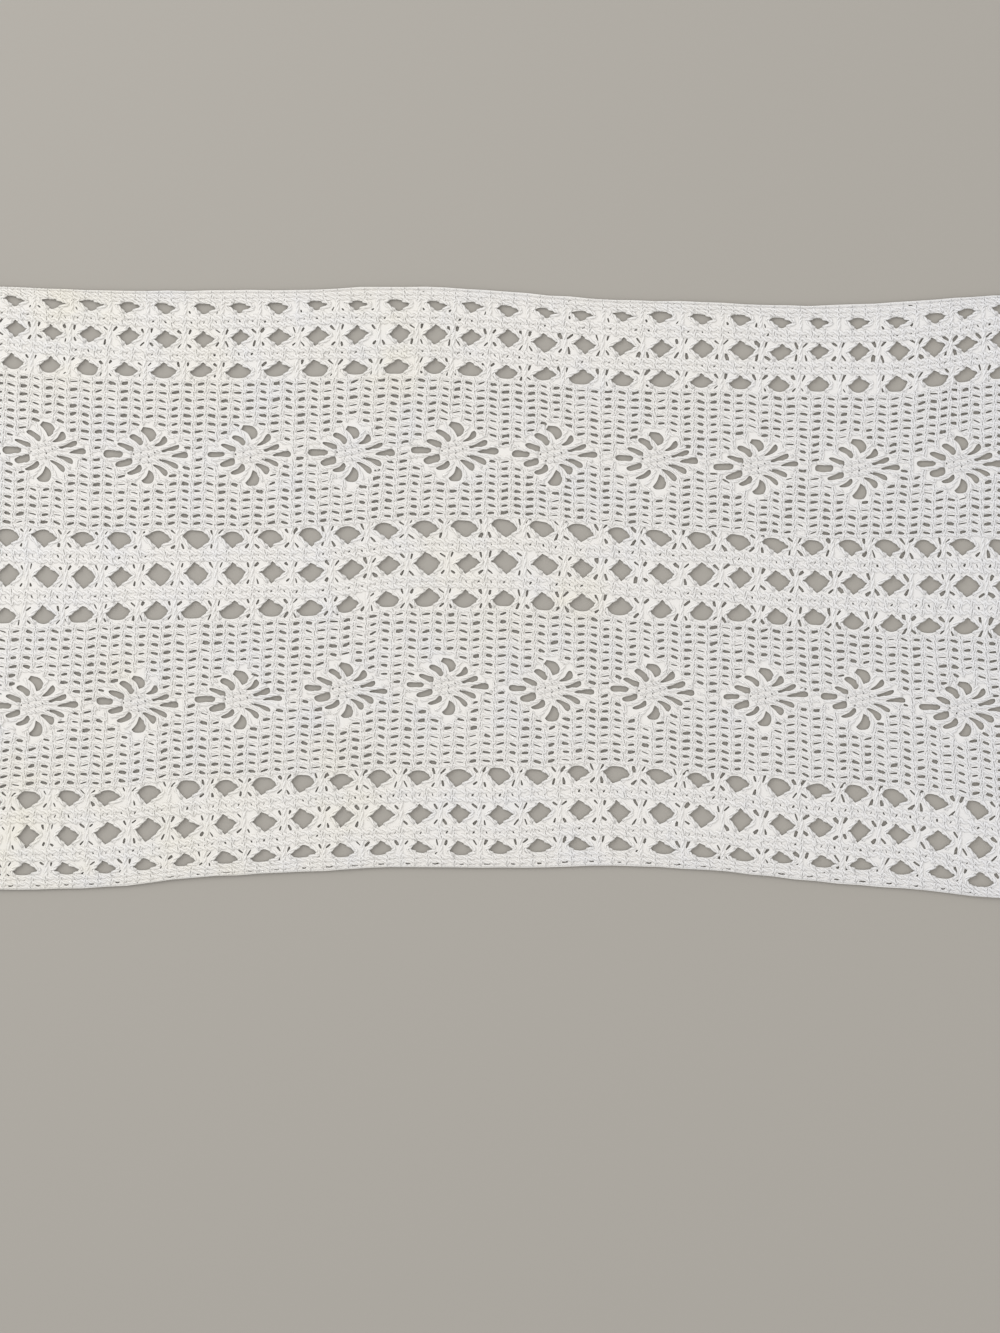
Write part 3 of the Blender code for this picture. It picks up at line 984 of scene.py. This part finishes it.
def mixed(tree, factor, one, other):
    made = addNode(tree, "ShaderNodeMix", {"Factor": factor}, data_type="RGBA")
    for name, value in (("A", one), ("B", other)):
        if isinstance(value, bpy.types.NodeSocket):
            tree.links.new(value, made.inputs[name])
        else:
            made.inputs[name].default_value = value
    return made.outputs["Result"]


def cottonYarn(name, plied):
    # soft-spun crochet cotton, washed and worn: matt, off-white, with old yellowish patches, and painted
    # shade that greys what lies low in the work
    material = bpy.data.materials.new(name)
    material.use_nodes = True
    tree = material.node_tree
    tree.nodes.clear()
    place = addNode(tree, "ShaderNodeTexCoord", {}).outputs["Object"]
    patches = addNode(tree, "ShaderNodeTexNoise", {
        "Vector": place, "Scale": cotton["patches"], "Detail": 4.0, "Roughness": 0.6,
    })
    uneven = ranged(tree, patches.outputs["Fac"], (0.4, 0.62), (0.25, 1.0))
    stained = 0.0
    for x, y, radius, strength in stains:
        centre = (x * mm, y * mm, 0)
        away = addNode(tree, "ShaderNodeVectorMath", {0: place, 1: centre}, operation="DISTANCE")
        spot = ranged(tree, away.outputs["Value"], (0.25 * radius * mm, radius * mm), (strength, 0.0))
        stained = addNode(tree, "ShaderNodeMath", {0: stained, 1: spot}, operation="MAXIMUM")
        stained = stained.outputs["Value"]
    yellow = addNode(tree, "ShaderNodeMath", {0: stained, 1: uneven}, operation="MULTIPLY").outputs["Value"]
    axes = addNode(tree, "ShaderNodeSeparateXYZ", {"Vector": place})
    # shifted, so that the clouds fall elsewhere than the patches
    shifted = addNode(tree, "ShaderNodeMapping", {"Vector": place, "Location": (0.4, 0.7, 0.0)})
    clouds = addNode(tree, "ShaderNodeTexNoise", {
        "Vector": shifted.outputs["Vector"], "Scale": cotton["clouds"], "Detail": 3.0,
    })
    mottled = ranged(tree, clouds.outputs["Fac"], (0.48, 0.72), (0.0, 0.5))
    stretch = (cotton["coolFrom"], cotton["coolTo"])
    towardsRight = ranged(tree, axes.outputs["X"], stretch, (0.0, cotton["coolShare"]))
    cool = addNode(tree, "ShaderNodeMath", {0: mottled, 1: towardsRight}, operation="MAXIMUM")
    cool = cool.outputs["Value"]
    # painted shade: the lower the yarn or the ground lies, the greyer it is painted, in place of the shade
    # that falls between the stitches
    depth = (cotton["paintedShadeFrom"], cotton["paintedShadeTo"])
    paintedShade = ranged(tree, axes.outputs["Z"], depth, (0.0, cotton["paintedShadeShare"]))
    colour = mixed(tree, yellow, linear(cotton["colour"]), linear(cotton["yellowed"]))
    colour = mixed(tree, cool, colour, linear(cotton["cool"]))
    colour = mixed(tree, paintedShade, colour, linear(cotton["paintedShade"]))
    fibres = addNode(tree, "ShaderNodeTexNoise", {
        "Vector": place, "Scale": 1 / cotton["fibre"], "Detail": 2.0,
    })
    bump = addNode(tree, "ShaderNodeBump", {
        "Height": fibres.outputs["Fac"], "Strength": 0.5, "Distance": cotton["fibreDepth"],
    })
    if plied:
        # the plies wind round the yarn, which its own map follows
        along = addNode(tree, "ShaderNodeUVMap", {}, uv_map="UVMap")
        stretched = addNode(tree, "ShaderNodeMapping", {
            "Vector": along.outputs["UV"], "Scale": (cotton["plies"], 1.0, 1.0),
        })
        twist = addNode(tree, "ShaderNodeTexWave", {
            "Vector": stretched.outputs["Vector"], "Scale": 0.55,
        }, bands_direction="DIAGONAL")
        bump = addNode(tree, "ShaderNodeBump", {
            "Height": twist.outputs["Fac"], "Strength": 0.6, "Distance": cotton["plyDepth"],
            "Normal": bump.outputs["Normal"],
        })
    shader = addNode(tree, "ShaderNodeBsdfPrincipled", {
        "Base Color": colour,
        "Roughness": cotton["roughness"],
        "Sheen Weight": cotton["sheen"],
        "Sheen Roughness": 0.5,
        "Normal": bump.outputs["Normal"],
    })
    addNode(tree, "ShaderNodeOutputMaterial", {"Surface": shader.outputs["BSDF"]})
    return material


groundCotton = cottonYarn("softCottonGround", plied=False)
pliedCotton = cottonYarn("softPliedCotton", plied=True)
for piece in [groundPiece, *yarnPieces]:
    piece.data.materials.clear()
    piece.data.materials.append(groundCotton if piece is groundPiece else pliedCotton)
    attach(piece, "root")
    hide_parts("runner")
    print(piece.name, "triangles", sum(len(face.vertices) - 2 for face in piece.data.polygons))

stageLook = {"floor": "#A09C95", "size": 14.0, "drop": 0.3 * mm, "world": 0.77, "key": 17.7, "fill": 8.8}
print("setting the stage")
bpy.ops.mesh.primitive_plane_add(size=stageLook["size"])
floor = bpy.context.object
floor.name = "floor"
floor.location.z = -stageLook["drop"]
floorMaterial = bpy.data.materials.new("paintedFloor")
floorMaterial.use_nodes = True
floorShader = floorMaterial.node_tree.nodes["Principled BSDF"]
floorShader.inputs["Base Color"].default_value = linear(stageLook["floor"])
floorShader.inputs["Roughness"].default_value = 0.8
floor.data.materials.append(floorMaterial)
floor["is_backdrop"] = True

world = bpy.data.worlds.new("softWhiteRoom")
world.use_nodes = True
world.node_tree.nodes["Background"].inputs["Color"].default_value = (1, 0.99, 0.98, 1)
world.node_tree.nodes["Background"].inputs["Strength"].default_value = stageLook["world"]
bpy.context.scene.world = world


def areaLight(name, place, size, power):
    # a square light that faces the middle of the runner
    light = bpy.data.lights.new(name, "AREA")
    light.size = size
    light.energy = power
    holder = bpy.data.objects.new(name, light)
    holder.location = place
    holder.rotation_euler = (-holder.location).to_track_quat("-Z", "Y").to_euler()
    bpy.context.scene.collection.objects.link(holder)


areaLight("window", (-1.1, 1.0, 1.3), 1.3, stageLook["key"])
areaLight("ceiling", (0.7, -0.5, 2.2), 1.6, stageLook["fill"])

viewPlan = {"lens": 100, "sensor": 36, "long": 666.5 * mm, "aim": (-2.4 * mm, -35.95 * mm)}
cameraData = bpy.data.cameras.new("camera")
cameraData.lens = viewPlan["lens"]
cameraData.sensor_width = viewPlan["sensor"]
camera = bpy.data.objects.new("camera", cameraData)
camera.location = (*viewPlan["aim"], viewPlan["long"] * viewPlan["lens"] / viewPlan["sensor"])
bpy.context.scene.collection.objects.link(camera)
bpy.context.scene.camera = camera
bpy.context.scene.view_settings.view_transform = "Standard"

boxes = {"cad": cadBox, "visual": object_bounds()}
boxes = {name: [[float(x) for x in corner] for corner in box] for name, box in boxes.items()}
